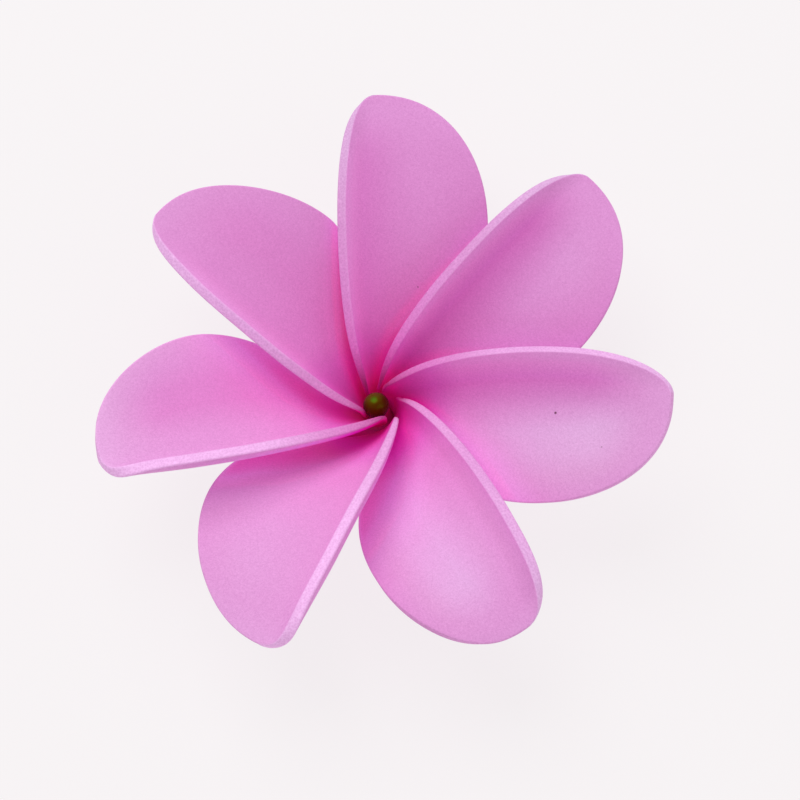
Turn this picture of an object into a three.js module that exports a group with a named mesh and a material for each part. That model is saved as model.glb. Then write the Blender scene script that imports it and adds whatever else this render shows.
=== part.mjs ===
// A foam tiare flower: seven heat-formed foam petals set as a pinwheel round a small bead, glued
// to a core on the bead's wire and closed at the back by a foam disc.
// Millimetres, +Z up. The origin is the centre of the backing disc's flat underside.
import * as THREE from "three";

const radians = THREE.MathUtils.degToRad;

// The flat die that cuts every petal. A petal's own frame has x outward along its midrib and
// y towards its raised side, which is the anticlockwise one seen from above.
const PETAL_LENGTH = 52.7;
const LOW_SIDE_WIDTH = 21.8;
const RAISED_SIDE_WIDTH = 5.8;
const WIDEST_AT = 0.532; // share of the length
const LOW_NECK_SHARE = 0.04; // width at the neck, as a share of the side's full width
const RAISED_NECK_SHARE = 0.06;
const LOW_SIDE_SWELL = 0.71; // power: the smaller, the sooner the side reaches its full width
const RAISED_SIDE_SWELL = 0.24;

// Foam sheet: full thickness over the blade, pinched where the neck is bonded to the core.
const SHEET_THICKNESS = 2.0;
const NECK_THICKNESS = 0.8;
const PINCH_LENGTH = 6.0;

// What all petals share once they are formed and set round the throat.
const NECK_START = 2.1; // from the axis, along the petal's azimuth
const NECK_HEIGHT = 9.1;
const NECK_ROLL = 82; // degrees: the sheet stands nearly on edge in the throat
const ROLL_LENGTH = 13.3; // distances over which the neck's roll, offset and dive settle
const OFFSET_LENGTH = 45;
const DIVE_LENGTH = 2.6;
const CURL_POWER = 0.7;
const TURN_POWER = 1.5;
const TIP_EASE = 14; // power: the larger, the nearer to the tip the sheet lies flat

// Each petal as it was formed, clockwise from the one that points along +Y. azimuth is where it
// points, rise the pitch at the neck and tip the pitch at the tip, roll the tilt of the blade towards
// the raised side, curl how much further that side stands up, turn how the low side bends, aside how
// far beside the axis the neck passes, bow the tip's sideways bow, scale the growth in forming, inset
// how much further out the neck starts and dive how far it dips into the throat.
// Angles are in degrees, aside, bow, inset and dive in millimetres.
const PETAL_FORMS = [
  { azimuth: 93.5, rise: 27, tip: -3.5, roll: 1, curl: 50.5, turn: -22,
    aside: 1.7, bow: -1.8, scale: 1.03, inset: 0.8, dive: 1.8 },
  { azimuth: 49, rise: 30.5, tip: -5, roll: 4.5, curl: 51.5, turn: -14,
    aside: 1.7, bow: -2.8, scale: 1.03, inset: 0.6, dive: 1.8 },
  { azimuth: 3, rise: 40, tip: 5, roll: 14, curl: 29, turn: -18.5,
    aside: 2.1, bow: -5.9, scale: 1.01, inset: -0.3, dive: -0.9 },
  { azimuth: -52, rise: 29.5, tip: 8, roll: 5, curl: 63, turn: -46.5,
    aside: 2.2, bow: -5.7, scale: 0.97, inset: -0.4, dive: -2.6 },
  { azimuth: -117.5, rise: 35.5, tip: 3.5, roll: 17.5, curl: 27, turn: -30,
    aside: 3.8, bow: 3.7, scale: 0.98, inset: 0.2, dive: -3.1 },
  { azimuth: -161.5, rise: 27.5, tip: 12, roll: 6.5, curl: 84, turn: -41.5,
    aside: 3.3, bow: -0.8, scale: 0.98, inset: -1, dive: -1.6 },
  { azimuth: 144, rise: 38, tip: -1, roll: 2, curl: 41.5, turn: -6.5,
    aside: 3.1, bow: -1.7, scale: 0.98, inset: -0.7, dive: -1.4 },
];

// Mesh steps.
const ROWS = 22;
const LOW_SIDE_STEPS = 8;
const RAISED_SIDE_STEPS = 4;
const TURNED_SEGMENTS = 32;
const BALL_ARC_STEPS = 14;
const WIRE_STEPS = 16;
const WIRE_SEGMENTS = 10;
const NECK_CROWDING = 1.4; // power: the larger, the closer the rows lie at the neck

// Backing disc, glue core, wire and bead. The wire stands on the flower's axis inside the core and
// leans over above it, and the bead sits on the leaning end.
const GLUED_GAP = 0.3; // left between pieces that are glued together
const DISC_RADIUS = 10;
const DISC_THICKNESS = 2;
const DISC_EASE = 0.4; // chamfer of the disc's pressed edge
const DISC_SKIN = 0.8; // foam left below the wire's socket
const WIRE_RADIUS = 0.4;
const SOCKET_RADIUS = WIRE_RADIUS + GLUED_GAP;
const CORE_FOOT = DISC_THICKNESS + GLUED_GAP;
const CORE_TOP = 8.6;
const CORE_WAIST = 5.4; // height where the core reaches its waist
const CORE_SHOULDER = 0.6;
const CORE_FOOT_RADIUS = 3.2;
const CORE_WAIST_RADIUS = 1.9;
const BEAD_RADIUS = 2.35;
const BEAD_CENTRE = new THREE.Vector3(-0.5, -0.9, 12.7);
const BEAD_SOCKET_DEPTH = 2;
const WIRE_BEND = new THREE.Vector3(0, 0, 8.8);

const petalFoam = new THREE.MeshStandardMaterial({ color: 0xe8a6db, roughness: 0.85, metalness: 0 });
const discFoam = new THREE.MeshStandardMaterial({ color: 0xe09ad2, roughness: 0.9, metalness: 0 });
const beadGloss = new THREE.MeshStandardMaterial({ color: 0x4b4a08, roughness: 0.25, metalness: 0 });
const wireSteel = new THREE.MeshStandardMaterial({ color: 0x9a9a9e, roughness: 0.4, metalness: 1 });
const hotMeltGlue = new THREE.MeshStandardMaterial({ color: 0xe6dcc4, roughness: 0.5, metalness: 0 });

// Width of one side of the blank as a share of its full width: a sine swell, then an elliptic tip.
function widthShare(share, neckShare, swell) {
  if (share < WIDEST_AT) {
    const rising = Math.sin((Math.PI / 2) * (share / WIDEST_AT) ** swell);
    return neckShare + (1 - neckShare) * rising;
  }
  const past = (share - WIDEST_AT) / (1 - WIDEST_AT);
  return Math.sqrt(Math.max(0, 1 - past * past));
}

// Where the rows lie along the petal: closest at the neck, then evenly round the tip's curve.
function rowShares() {
  const half = ROWS / 2;
  const blade = Array.from({ length: half }, (_, i) => WIDEST_AT * (i / half) ** NECK_CROWDING);
  const tip = Array.from({ length: half + 1 }, (_, i) => {
    const turn = (Math.PI / 2) * (i / half);
    return WIDEST_AT + (1 - WIDEST_AT) * Math.sin(turn);
  });
  return [...blade, ...tip];
}

// The midrib: a point and the distance walked for every row.
function midrib(form, shares) {
  const length = PETAL_LENGTH * form.scale;
  let x = NECK_START + form.inset;
  let z = NECK_HEIGHT;
  return shares.map((share, i) => {
    const before = i > 0 ? shares[i - 1] : 0;
    const pitch = radians(form.rise + ((form.tip - form.rise) * (share + before)) / 2);
    const step = (share - before) * length;
    x += Math.cos(pitch) * step;
    z += Math.sin(pitch) * step;
    const walked = share * length;
    const y = form.aside * Math.exp(-walked / OFFSET_LENGTH) + form.bow * share * share;
    const dip = form.dive * Math.exp(-walked / DIVE_LENGTH);
    const centre = new THREE.Vector3(x, y, z - dip);
    return { share, settled: Math.exp(-walked / ROLL_LENGTH), centre };
  });
}

// One side of a row, walked outward from the midrib along the sheet's slope.
function sidePoints(form, row, side) {
  const raised = side > 0;
  const steps = raised ? RAISED_SIDE_STEPS : LOW_SIDE_STEPS;
  const width = raised
    ? RAISED_SIDE_WIDTH * widthShare(row.share, RAISED_NECK_SHARE, RAISED_SIDE_SWELL)
    : LOW_SIDE_WIDTH * widthShare(row.share, LOW_NECK_SHARE, LOW_SIDE_SWELL);
  const bend = raised ? form.curl : form.turn;
  const power = raised ? CURL_POWER : TURN_POWER;
  const roll = form.roll + (NECK_ROLL - form.roll) * row.settled;
  const bent = bend * (1 - row.settled) * (1 - row.share ** TIP_EASE);
  const slopeAt = (share) => radians(roll + bent * share ** power);
  const walk = width / steps;
  const point = row.centre.clone();
  return Array.from({ length: steps }, (_, i) => {
    const slope = (slopeAt(i / steps) + slopeAt((i + 1) / steps)) / 2;
    point.y += side * Math.cos(slope) * walk;
    point.z += side * Math.sin(slope) * walk;
    return point.clone();
  });
}

// The sheet's middle surface: rows from the neck, columns from the low edge to the raised edge.
function middleSurface(form, shares) {
  return midrib(form, shares).map((row) => [
    ...sidePoints(form, row, -1).reverse(),
    row.centre,
    ...sidePoints(form, row, 1),
  ]);
}

function surfaceNormal(grid, i, j) {
  const along = grid[Math.min(i + 1, grid.length - 1)][j].clone().sub(grid[Math.max(i - 1, 0)][j]);
  const across = grid[i][Math.min(j + 1, grid[i].length - 1)].clone().sub(grid[i][Math.max(j - 1, 0)]);
  return along.cross(across).normalize();
}

// A closed sheet: the middle surface moved up and down by half the foam's thickness, with a cut
// edge all round. The last row has no width, so it becomes the tip's single point on each face.
function petalGeometry(form) {
  const shares = rowShares();
  const grid = middleSurface(form, shares);
  const columns = grid[0].length;
  const fullRows = grid.length - 1;
  const length = PETAL_LENGTH * form.scale;
  const faces = [1, -1].map((face) => {
    const moved = grid.slice(0, fullRows).flatMap((row, i) => {
      const pinch = Math.exp((-shares[i] * length) / PINCH_LENGTH);
      const thickness = SHEET_THICKNESS - (SHEET_THICKNESS - NECK_THICKNESS) * pinch;
      return row.map((point, j) =>
        point.clone().addScaledVector(surfaceNormal(grid, i, j), (face * thickness) / 2),
      );
    });
    const tipNormal = surfaceNormal(grid, fullRows - 1, LOW_SIDE_STEPS);
    const tip = grid[fullRows][0].clone().addScaledVector(tipNormal, (face * SHEET_THICKNESS) / 2);
    return [...moved, tip];
  });
  const faceSize = faces[0].length;
  const tipIndex = faceSize - 1;
  const at = (i, j) => (i === fullRows ? tipIndex : i * columns + j);

  const triangles = [];
  const addTriangle = (a, b, c) => {
    triangles.push(a, b, c);
    triangles.push(a + faceSize, c + faceSize, b + faceSize);
  };
  for (let i = 0; i < fullRows; i += 1) {
    for (let j = 0; j < columns - 1; j += 1) {
      addTriangle(at(i, j), at(i + 1, j), at(i, j + 1));
      if (i + 1 < fullRows) addTriangle(at(i, j + 1), at(i + 1, j), at(i + 1, j + 1));
    }
  }

  const rim = [];
  for (let j = 0; j < columns - 1; j += 1) rim.push(at(0, j));
  for (let i = 0; i < fullRows; i += 1) rim.push(at(i, columns - 1));
  rim.push(tipIndex);
  for (let i = fullRows - 1; i > 0; i -= 1) rim.push(at(i, 0));
  rim.forEach((a, k) => {
    const b = rim[(k + 1) % rim.length];
    triangles.push(a, b, b + faceSize);
    triangles.push(a, b + faceSize, a + faceSize);
  });

  const geometry = new THREE.BufferGeometry().setFromPoints(faces.flat());
  geometry.setIndex(triangles);
  geometry.computeVertexNormals();
  return geometry;
}

// A piece turned about Z from a profile of [radius, height] points.
function turned(profile) {
  const points = profile.map(([radius, height]) => new THREE.Vector2(radius, height));
  return new THREE.LatheGeometry(points, TURNED_SEGMENTS).rotateX(Math.PI / 2);
}

// The disc, with the wire's socket sunk into it from above.
function discGeometry() {
  return turned([
    [0, 0],
    [DISC_RADIUS - DISC_EASE, 0],
    [DISC_RADIUS, DISC_EASE],
    [DISC_RADIUS, DISC_THICKNESS - DISC_EASE],
    [DISC_RADIUS - DISC_EASE, DISC_THICKNESS],
    [SOCKET_RADIUS, DISC_THICKNESS],
    [SOCKET_RADIUS, DISC_SKIN],
    [0, DISC_SKIN],
  ]);
}

// The plug of glue: a spread foot on the disc, drawn in to a waist between the petal necks.
function coreGeometry() {
  const profile = [
    [SOCKET_RADIUS, CORE_FOOT],
    [CORE_FOOT_RADIUS, CORE_FOOT],
    [CORE_FOOT_RADIUS, CORE_FOOT + CORE_SHOULDER],
    [CORE_WAIST_RADIUS, CORE_WAIST],
    [CORE_WAIST_RADIUS, CORE_TOP - CORE_SHOULDER],
    [CORE_WAIST_RADIUS - CORE_SHOULDER, CORE_TOP],
    [SOCKET_RADIUS, CORE_TOP],
  ];
  return turned([...profile, profile[0]]);
}

// A ball with the wire's socket drilled up into it from below.
function beadGeometry() {
  const mouthAngle = Math.asin(SOCKET_RADIUS / BEAD_RADIUS);
  const socketEnd = BEAD_SOCKET_DEPTH - BEAD_RADIUS;
  const ball = Array.from({ length: BALL_ARC_STEPS + 1 }, (_, i) => {
    const angle = mouthAngle + ((Math.PI - mouthAngle) * i) / BALL_ARC_STEPS;
    const radius = i === BALL_ARC_STEPS ? 0 : BEAD_RADIUS * Math.sin(angle);
    return [radius, -BEAD_RADIUS * Math.cos(angle)];
  });
  return turned([[0, socketEnd], [SOCKET_RADIUS, socketEnd], ...ball]);
}

// The wire from the bottom of the disc's socket to just short of the end of the bead's socket.
function wireGeometry(beadAxis) {
  const endBelowCentre = BEAD_RADIUS - BEAD_SOCKET_DEPTH + GLUED_GAP;
  const path = new THREE.CatmullRomCurve3([
    new THREE.Vector3(0, 0, DISC_SKIN + GLUED_GAP),
    new THREE.Vector3(0, 0, WIRE_BEND.z / 2),
    WIRE_BEND,
    BEAD_CENTRE.clone().addScaledVector(beadAxis, -BEAD_RADIUS),
    BEAD_CENTRE.clone().addScaledVector(beadAxis, -endBelowCentre),
  ]);
  const section = new THREE.Shape().absarc(0, 0, WIRE_RADIUS, 0, 2 * Math.PI);
  return new THREE.ExtrudeGeometry(section, {
    steps: WIRE_STEPS,
    curveSegments: WIRE_SEGMENTS,
    extrudePath: path,
  });
}

const group = new THREE.Group();

function addPiece(name, geometry, material) {
  const mesh = new THREE.Mesh(geometry, material);
  mesh.name = name;
  group.add(mesh);
  return mesh;
}

PETAL_FORMS.forEach((form, i) => {
  const petal = addPiece(`petal_${i + 1}`, petalGeometry(form), petalFoam);
  petal.rotation.z = radians(form.azimuth);
});
addPiece("backing_disc", discGeometry(), discFoam);
addPiece("glue_core", coreGeometry(), hotMeltGlue);

const beadAxis = BEAD_CENTRE.clone().sub(WIRE_BEND).normalize();
addPiece("bead_wire", wireGeometry(beadAxis), wireSteel);
const bead = addPiece("centre_bead", beadGeometry(), beadGloss);
bead.position.copy(BEAD_CENTRE);
bead.quaternion.setFromUnitVectors(new THREE.Vector3(0, 0, 1), beadAxis);

export default group;
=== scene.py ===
"""A foam tiare flower: seven heat-formed petals in a pinwheel round a glossy bead."""

import math
from types import SimpleNamespace

import bmesh
import bpy
import numpy as np
from mathutils import Matrix, Vector, noise
from mathutils.bvhtree import BVHTree


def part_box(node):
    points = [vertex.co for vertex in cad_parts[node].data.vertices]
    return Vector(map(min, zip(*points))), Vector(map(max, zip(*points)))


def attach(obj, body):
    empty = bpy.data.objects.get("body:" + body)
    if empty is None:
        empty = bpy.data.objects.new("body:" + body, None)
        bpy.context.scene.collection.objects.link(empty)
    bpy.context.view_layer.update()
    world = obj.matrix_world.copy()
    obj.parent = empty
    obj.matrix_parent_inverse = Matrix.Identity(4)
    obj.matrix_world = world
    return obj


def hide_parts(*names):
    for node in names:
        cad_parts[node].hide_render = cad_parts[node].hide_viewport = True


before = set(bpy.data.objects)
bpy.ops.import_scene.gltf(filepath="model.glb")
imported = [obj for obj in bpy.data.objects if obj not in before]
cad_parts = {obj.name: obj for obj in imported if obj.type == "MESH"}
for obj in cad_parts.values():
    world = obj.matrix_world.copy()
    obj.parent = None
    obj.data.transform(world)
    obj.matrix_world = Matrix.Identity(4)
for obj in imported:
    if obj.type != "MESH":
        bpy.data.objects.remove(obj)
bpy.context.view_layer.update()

bl_info = {
    "name": "Foam tiare flower",
    "version": (1, 0, 0),
    "blender": (4, 5, 0),
    "location": "View3D > Sidebar > Tiare",
    "description": "Builds a heat-formed foam tiare flower on a small studio stage",
    "category": "Add Mesh",
}

MM = 0.001
BODY = "root"


def centre_and_size(node):
    """Middle point and size of a frame node's box."""
    low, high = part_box(node)
    return (low + high) / 2, high - low


BEAD_CENTRE, BEAD_SIZE = centre_and_size("centre_bead")
DISC_CENTRE, DISC_SIZE = centre_and_size("backing_disc")

# How each petal was formed by hand, and the light and shade painted on it: a row for each
# setting, with the petals clockwise from the one that points along +Y. Angles are in degrees and
# lengths in millimetres.
PETAL_FORMS = dict(
    azimuth=(93.5, 49, 3, -52, -117.5, -160.9, 144),
    rise=(27, 30.5, 40, 29.5, 35.5, 27.5, 38),
    tip=(-3.5, -5, 5, 8, 3.5, 12, -1),
    roll=(1, 4.5, 14, 5, 17.5, 6.5, 2),
    curl=(50.5, 51.5, 29, 63, 98, 104, 48),
    curl_power=(0.7, 0.7, 0.7, 0.7, 1.3, 0.9, 0.7),
    turn=(-22, -14, -18.5, -46.5, -30, -41.5, -6.5),
    aside=(1.7, 1.7, 2.1, 2.9, 4.1, 3.25, 3.1),
    bow=(-1.8, -2.3, -5.9, -6, 3.5, -2, -1.2),
    inset=(0.8, 0.6, -0.3, -0.4, 0.2, -1, -0.7),
    dive=(1.8, 1.8, -0.9, 2.4, -3.1, -1.6, -1.4),
    hook=(14, 8, 10, 33, 12, 28, 4),
    lift=(14, 8, 14, -14, -10, 6, 10),
    reach=(0.9, 1.1, 1.6, 2.1, 0.2, 1.6, 1.2),
    scale=(1.025, 1.02, 1.015, 0.972, 0.985, 0.995, 0.99),
    low_extra=(0.2, 0.2, 0, -0.5, 0.9, 0, 0.8),
    raised_extra=(0, 0, 0, 0, 3.6, 1.5, 0),
    low_blunt=(2.05, 2.05, 2, 1.95, 1.9, 1.7, 1.4),
    raised_blunt=(2.8, 2.8, 2.8, 4.4, 2.8, 3.5, 2.8),
    tone=(-0.9, -0.85, 0.6, 0, 0.8, 2, -0.15),
    crease=(0.55, 1.2, 1.15, -0.3, -0.2, 0.1, 0.25),
    ridge=(0.15, 0.55, 1.15, 1.15, 0.3, -0.75, -0.35),
    wall=(1.7, 1.4, 0.6, 1.3, 0.6, 0.1, 1.4),
    edge_pale=(0, 0, 0.3, 0.8, 0.9, 0.45, 0.6),
    edge_light=(0, 0, 0.65, 0.45, 1, 0.95, 0.75),
)


# --- Node trees as arithmetic ---


class Wire:
    """A node's output that takes part in Python arithmetic, adding a node for each step."""

    def __init__(self, nodes, socket):
        self.nodes = nodes
        self.socket = socket

    def __add__(self, other):
        return self.nodes.math("ADD", self, other)

    __radd__ = __add__

    def __sub__(self, other):
        return self.nodes.math("SUBTRACT", self, other)

    def __rsub__(self, other):
        return self.nodes.math("SUBTRACT", other, self)

    def __mul__(self, other):
        return self.nodes.math("MULTIPLY", self, other)

    __rmul__ = __mul__

    def __truediv__(self, other):
        return self.nodes.math("DIVIDE", self, other)

    def __rtruediv__(self, other):
        return self.nodes.math("DIVIDE", other, self)

    def __pow__(self, other):
        return self.nodes.math("POWER", self, other)

    def __neg__(self):
        return self.nodes.math("MULTIPLY", self, -1)


class Nodes:
    """Adds nodes to a tree and links them."""

    def __init__(self, tree):
        self.tree = tree

    def add(self, kind, settings=None, sockets=None):
        """A node of that kind; settings come first, then the values or wires of its sockets."""
        node = self.tree.nodes.new(kind)
        for name, value in (settings or {}).items():
            if name == "stops":
                self.set_stops(node.color_ramp, value)
            else:
                setattr(node, name, value)
        for key, value in (sockets or {}).items():
            self.feed(node.inputs[key], value)
        return node

    def feed(self, socket, value):
        """Links a wire to the socket, or sets it to a value; a colour needs no alpha."""
        if isinstance(value, Wire):
            self.tree.links.new(value.socket, socket)
        elif socket.type == "RGBA":
            socket.default_value = (*value, 1)
        else:
            socket.default_value = value

    @staticmethod
    def set_stops(ramp, stops):
        while len(ramp.elements) < len(stops):
            ramp.elements.new(1)
        for element, (position, tint) in zip(ramp.elements, stops):
            element.position = position
            element.color = (*tint, 1)

    def wire(self, node, output=0):
        return Wire(self, node.outputs[output])

    def out(self, kind, settings=None, sockets=None, output=0):
        """One output of a new node."""
        return self.wire(self.add(kind, settings, sockets), output)

    def math(self, operation, *values):
        return self.out("ShaderNodeMath", {"operation": operation}, dict(enumerate(values)))

    def clamped(self, value):
        settings = {"operation": "MULTIPLY", "use_clamp": True}
        return self.out("ShaderNodeMath", settings, {0: value, 1: 1})

    def blend(self, low, high, share):
        """low where share is 0 and high where it is 1."""
        return low + (high - low) * share

    def vector(self, operation, *values, output=0):
        sockets = dict(enumerate(values))
        return self.out("ShaderNodeVectorMath", {"operation": operation}, sockets, output)

    def scaled(self, vector, factor):
        return self.out("ShaderNodeVectorMath", {"operation": "SCALE"}, {0: vector, "Scale": factor})

    def combine(self, x, y, z):
        return self.out("ShaderNodeCombineXYZ", None, {0: x, 1: y, 2: z})

    def separate(self, vector):
        node = self.add("ShaderNodeSeparateXYZ", None, {0: vector})
        return [self.wire(node, axis) for axis in range(3)]

    def mix_colour(self, share, low, high, blend_type="MIX"):
        settings = {"data_type": "RGBA", "blend_type": blend_type}
        return self.out("ShaderNodeMix", settings, {0: share, 6: low, 7: high}, 2)

    def ramp(self, value, stops):
        return self.out("ShaderNodeValToRGB", {"stops": stops}, {0: value})

    def steps(self, value, low, high, to_low=0, to_high=1, smooth=True):
        """value carried from the range low..high to to_low..to_high, and held beyond it."""
        settings = {"interpolation_type": "SMOOTHSTEP" if smooth else "LINEAR"}
        sockets = dict(enumerate((value, low, high, to_low, to_high)))
        return self.out("ShaderNodeMapRange", settings, sockets)

    def noise(self, vector, scale, detail=2, roughness=0.5, seed=None):
        settings = {"noise_dimensions": "3D" if seed is None else "4D"}
        sockets = {"Vector": vector, "Scale": scale, "Detail": detail, "Roughness": roughness}
        if seed is not None:
            sockets["W"] = seed
        return self.out("ShaderNodeTexNoise", settings, sockets)

    def attribute(self, name):
        return self.out("ShaderNodeAttribute", {"attribute_name": name}, output="Fac")

    def through(self, kind, geometry, settings=None, **sockets):
        """A geometry that has gone through one more node."""
        sockets["Geometry"] = geometry
        return self.out(f"GeometryNode{kind}", settings, sockets, "Geometry")


# --- Settings a user would change ---


def factor(name, description, default, **kinds):
    return bpy.props.FloatProperty(name=name, description=description, default=default, **kinds)


def length(name, description, millimetres):
    return factor(name, description, millimetres * MM, subtype="DISTANCE", unit="LENGTH")


def angle(name, description, degrees=0):
    return factor(name, description, math.radians(degrees), subtype="ANGLE", unit="ROTATION")


def colour(name, description, default):
    return bpy.props.FloatVectorProperty(
        name=name, description=description, default=default, subtype="COLOR", min=0, max=1
    )


class PetalSheet(bpy.types.PropertyGroup):
    """The flat blank that all petals are cut from, and how they are set round the throat."""

    length: length("Petal length", "From neck to tip along the midrib", 52.7)
    low_width: length("Low side width", "From the midrib to the low edge", 21.8)
    raised_width: length("Raised side width", "From the midrib to the raised edge", 5.8)
    widest: factor("Widest at", "Share of the length where both sides are widest", 0.532)
    low_neck: factor("Low neck share", "The low side's width at the neck", 0.04)
    raised_neck: factor("Raised neck share", "The raised side's width at the neck", 0.06)
    low_swell: factor("Low side swell", "Power: the smaller, the sooner the side is wide", 0.71)
    raised_swell: factor("Raised side swell", "The same for the raised side", 0.24)
    tip_shift: length("Tip shift", "How far the tip lies towards the low side", 1)
    thickness: length("Sheet thickness", "Thickness of the foam over the blade", 2)
    neck_thickness: length("Neck thickness", "Thickness where the neck is pinched", 0.8)
    pinch_length: length("Pinch length", "Distance over which the pinch eases", 6)
    edge_round: length("Edge rounding", "Radius where the faces meet the cut edge", 0.3)
    start: length("Neck start", "From the axis to the neck", 2.1)
    height: length("Neck height", "Height of the neck above the table", 9.1)
    neck_roll: angle("Neck roll", "The sheet stands nearly on edge in the throat", 82)
    roll_length: length("Roll length", "Distance over which the roll settles", 13.3)
    offset_length: length("Offset length", "Distance over which the neck's offset settles", 45)
    dive_length: length("Dive length", "Distance over which the neck's dive settles", 2.6)
    tip_ease: factor("Tip ease", "Power: the larger, the nearer to the tip the sheet lies flat", 14)
    turn_power: factor("Turn power", "How the turn grows across the low side", 1.5)
    waver: length("Waver", "Unevenness left by forming the foam by hand", 0.25)


class PetalForm(bpy.types.PropertyGroup):
    """How one petal was formed by hand, and the light and shade painted on it."""

    azimuth: angle("Azimuth", "Where the petal points")
    rise: angle("Rise at the neck", "Pitch of the midrib as it leaves the throat")
    tip: angle("Rise at the tip", "Pitch of the midrib at the tip")
    roll: angle("Roll", "Tilt of the blade towards its raised side")
    curl: angle("Curl", "How much further the raised side stands up")
    curl_power: factor("Curl power", "Power: the larger, the nearer to the rim it curls", 0.7)
    turn: angle("Turn", "How the low side bends, down if positive")
    aside: length("Aside", "How far beside the axis the neck passes", 0)
    bow: length("Bow", "Sideways bow of the tip", 0)
    inset: length("Inset", "How much further out the neck starts", 0)
    dive: length("Dive", "How far the neck dips into the throat", 0)
    hook: angle("Hook", "How the low side's rim bends down")
    lift: angle("Lift", "How the sheet turns up at the very tip")
    reach: length("Neck reach", "How far the neck runs on towards the bead", 0)
    scale: factor("Growth", "Growth of the sheet in forming", 1)
    low_extra: length("Low side extra", "Widening of the low side past the blank", 0)
    raised_extra: length("Raised side extra", "The same for the raised side", 0)
    low_blunt: factor("Low tip bluntness", "Power: the larger, the blunter the low side's tip", 2)
    raised_blunt: factor("Raised tip bluntness", "The same for the raised side", 2.8)
    # Painted light and shade for the whole petal.
    tone: factor("Tone", "Paler above 0 and deeper below it", 0)
    # Painted shade along the raised side's foot.
    crease: factor("Crease", "How deep the pink is along the raised side's foot", 0)
    # Painted light on the middle of the low side.
    ridge: factor("Ridge", "How pale the middle of the low side is", 0)
    # Painted light on the raised side.
    wall: factor("Wall", "How pale the raised side is", 0)
    # Painted light on the cut edge, in the throat and further out.
    edge_pale: factor("Pale edge", "How pale the cut edge stays in the throat", 0)
    edge_light: factor("Light edge", "How pale the cut edge is further out", 0)
    seed: factor("Seed", "Choice of the hand-forming waver", 0)


class CentreSizes(bpy.types.PropertyGroup):
    """The pieces in and under the throat."""

    socket_radius: length("Socket radius", "Bore for the wire", 0.7)
    bead_socket: length("Bead socket", "Depth of the bore in the bead", 2)
    wire_radius: length("Wire radius", "Half the wire's thickness", 0.4)
    glued_gap: length("Glued gap", "Left between glued pieces", 0.3)
    waist_radius: length("Core waist", "Radius of the glue between the petal necks", 1.9)
    waist_height: length("Waist height", "Height where the glue reaches its waist", 5.4)
    core_shoulder: length("Core shoulder", "Height of the glue's rounded rims", 0.6)
    disc_ease: length("Disc ease", "Rounding of the disc's pressed edge", 0.4)
    disc_skin: length("Disc skin", "Foam left below the wire", 0.8)


class FlowerColours(bpy.types.PropertyGroup):
    """Linear colours of the finishes."""

    foam_tip: colour("Tip foam", "Pink at the tip", (0.80, 0.35, 0.725))
    foam: colour("Foam", "Pink of the open blade", (0.77, 0.305, 0.675))
    foam_high: colour("High blade", "Pink above the middle of the blade", (0.78, 0.285, 0.665))
    foam_middle: colour("Middle blade", "Pink at the middle of the blade", (0.80, 0.26, 0.655))
    foam_low: colour("Low blade", "Pink below the middle of the blade", (0.81, 0.225, 0.64))
    # Painted shade: the pinks from the blade's root to the throat deepen towards the bead.
    foam_root: colour("Blade root", "Pink where the blade leaves the throat", (0.74, 0.125, 0.55))
    foam_neck: colour("Neck foam", "Pink round the throat", (0.65, 0.054, 0.40))
    foam_throat: colour("Throat foam", "Pink right round the bead", (0.58, 0.014, 0.25))
    # Painted shade for the clefts, used over the disc's top.
    foam_deep: colour("Deep foam", "Pink in the narrow clefts", (0.80, 0.02, 0.34))
    fleck: colour("Fleck", "Dark specks in the foam", (0.10, 0.01, 0.04))
    foam_cut: colour("Cut edge", "Pink of the cut edge", (0.86, 0.435, 0.82))
    bead: colour("Bead", "Green of the bead's light side", (0.105, 0.056, 0.001))
    # Painted shade and painted reflection of the pink petals on the bead's brown side, and a painted
    # highlight round its glint.
    bead_low: colour("Bead low side", "Brown of its other side", (0.074, 0.008, 0.0005))
    bead_glint: colour("Bead glint", "Green round the glint", (0.05, 0.10, 0.002))
    # Painted shade: the glue's deep crimson is partly the pink foam seen through it and partly the
    # throat's shade.
    glue: colour("Glue", "Clear glue as the pink foam shows through it", (0.42, 0.005, 0.12))
    glue_cloud: colour("Cloudy glue", "Its cloudier parts", (0.58, 0.02, 0.20))
    floor: colour("Floor", "Table under the flower", (0.93, 0.90, 0.91))


class TiareSettings(bpy.types.PropertyGroup):
    """Everything the flower's operators read."""

    sheet: bpy.props.PointerProperty(type=PetalSheet)
    petals: bpy.props.CollectionProperty(type=PetalForm)
    centre: bpy.props.PointerProperty(type=CentreSizes)
    colours: bpy.props.PointerProperty(type=FlowerColours)


def own_properties(group):
    """The properties that a settings group declares, in their order."""
    return [group.bl_rna.properties[key] for key in group.__annotations__]


# --- The petal's node tree ---

# Five-point Gauss rule on 0..1, as (place, weight), for summing the slope across half a petal.
GAUSS_POINTS = [
    ((1 + place) / 2, weight / 2)
    for place, weight in zip(*np.polynomial.legendre.leggauss(5))
]
ROWS = 120
ROW_CROWDING = 1.3  # power: above 1, the rows lie closer at the neck
FACE_COLUMNS = 56
CUT_COLUMNS = 6
COLUMN_CROWDING = 0.8  # 0 spaces the columns evenly, 1 crowds them most at the rims
# Powers that keep a bend near the low rim or near the tip.
HOOK_POWER = 4
LIFT_POWER = 9
SHIFT_POWER = 8
NEAR = 0.004  # how far off, as a share, the points are that slopes are taken from
WAVER_SCALE = 55.0
WAVER_GROWS = (4 * MM, 16 * MM)  # distances from the neck
MERGE_DISTANCE = 0.002 * MM
PAINT_SHARES = ("tone", "crease", "ridge", "wall", "edge_pale", "edge_light")


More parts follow.
